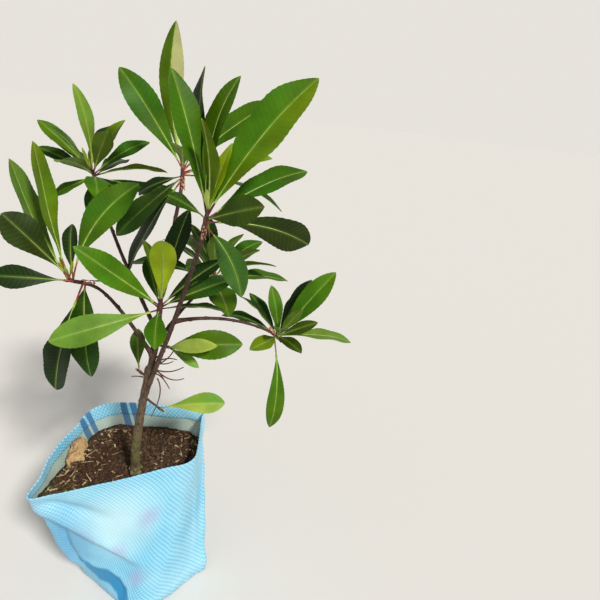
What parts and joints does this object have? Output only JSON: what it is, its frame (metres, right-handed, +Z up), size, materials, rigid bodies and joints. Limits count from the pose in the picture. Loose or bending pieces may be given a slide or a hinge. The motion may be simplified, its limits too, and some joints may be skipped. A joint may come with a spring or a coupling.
{
  "type": "potted olive sapling",
  "caption": "Young broad-leaved olive sapling with whorls of large leaves at its twig ends, growing in a soil-filled woven sack that stands on its flat base",
  "frame": {"origin": "centre of the sack's flat underside, on the surface it stands on", "axes": "+Z up along the height of the plant, -Y towards the side where the sack's long front panel and lowest rim edge are, +X to the right as seen from there"},
  "size_m": [0.6046, 0.5419, 1.082],
  "materials": {
    "woven_sack": "satin",
    "potting_soil": "matte",
    "bark": "matte",
    "twig_bark": "matte",
    "foliage": "satin"
  },
  "bodies": {
    "root": {"grow_sack": "woven_sack", "soil": "potting_soil", "trunk": "bark", "leader": "twig_bark", "middle_bough": "twig_bark", "back_bough": "twig_bark", "left_bough": "twig_bark", "right_bough": "twig_bark", "back_left_bough": "twig_bark", "back_right_bough": "twig_bark", "top_front_leaves": "foliage", "top_back_leaves": "foliage", "middle_leaves": "foliage", "left_leaves": "foliage", "right_leaves": "foliage", "back_left_leaves": "foliage", "back_right_leaves": "foliage", "fork_leaves": "foliage", "left_fork_leaf": "foliage", "low_leaf": "foliage"}
  },
  "joints": []
}
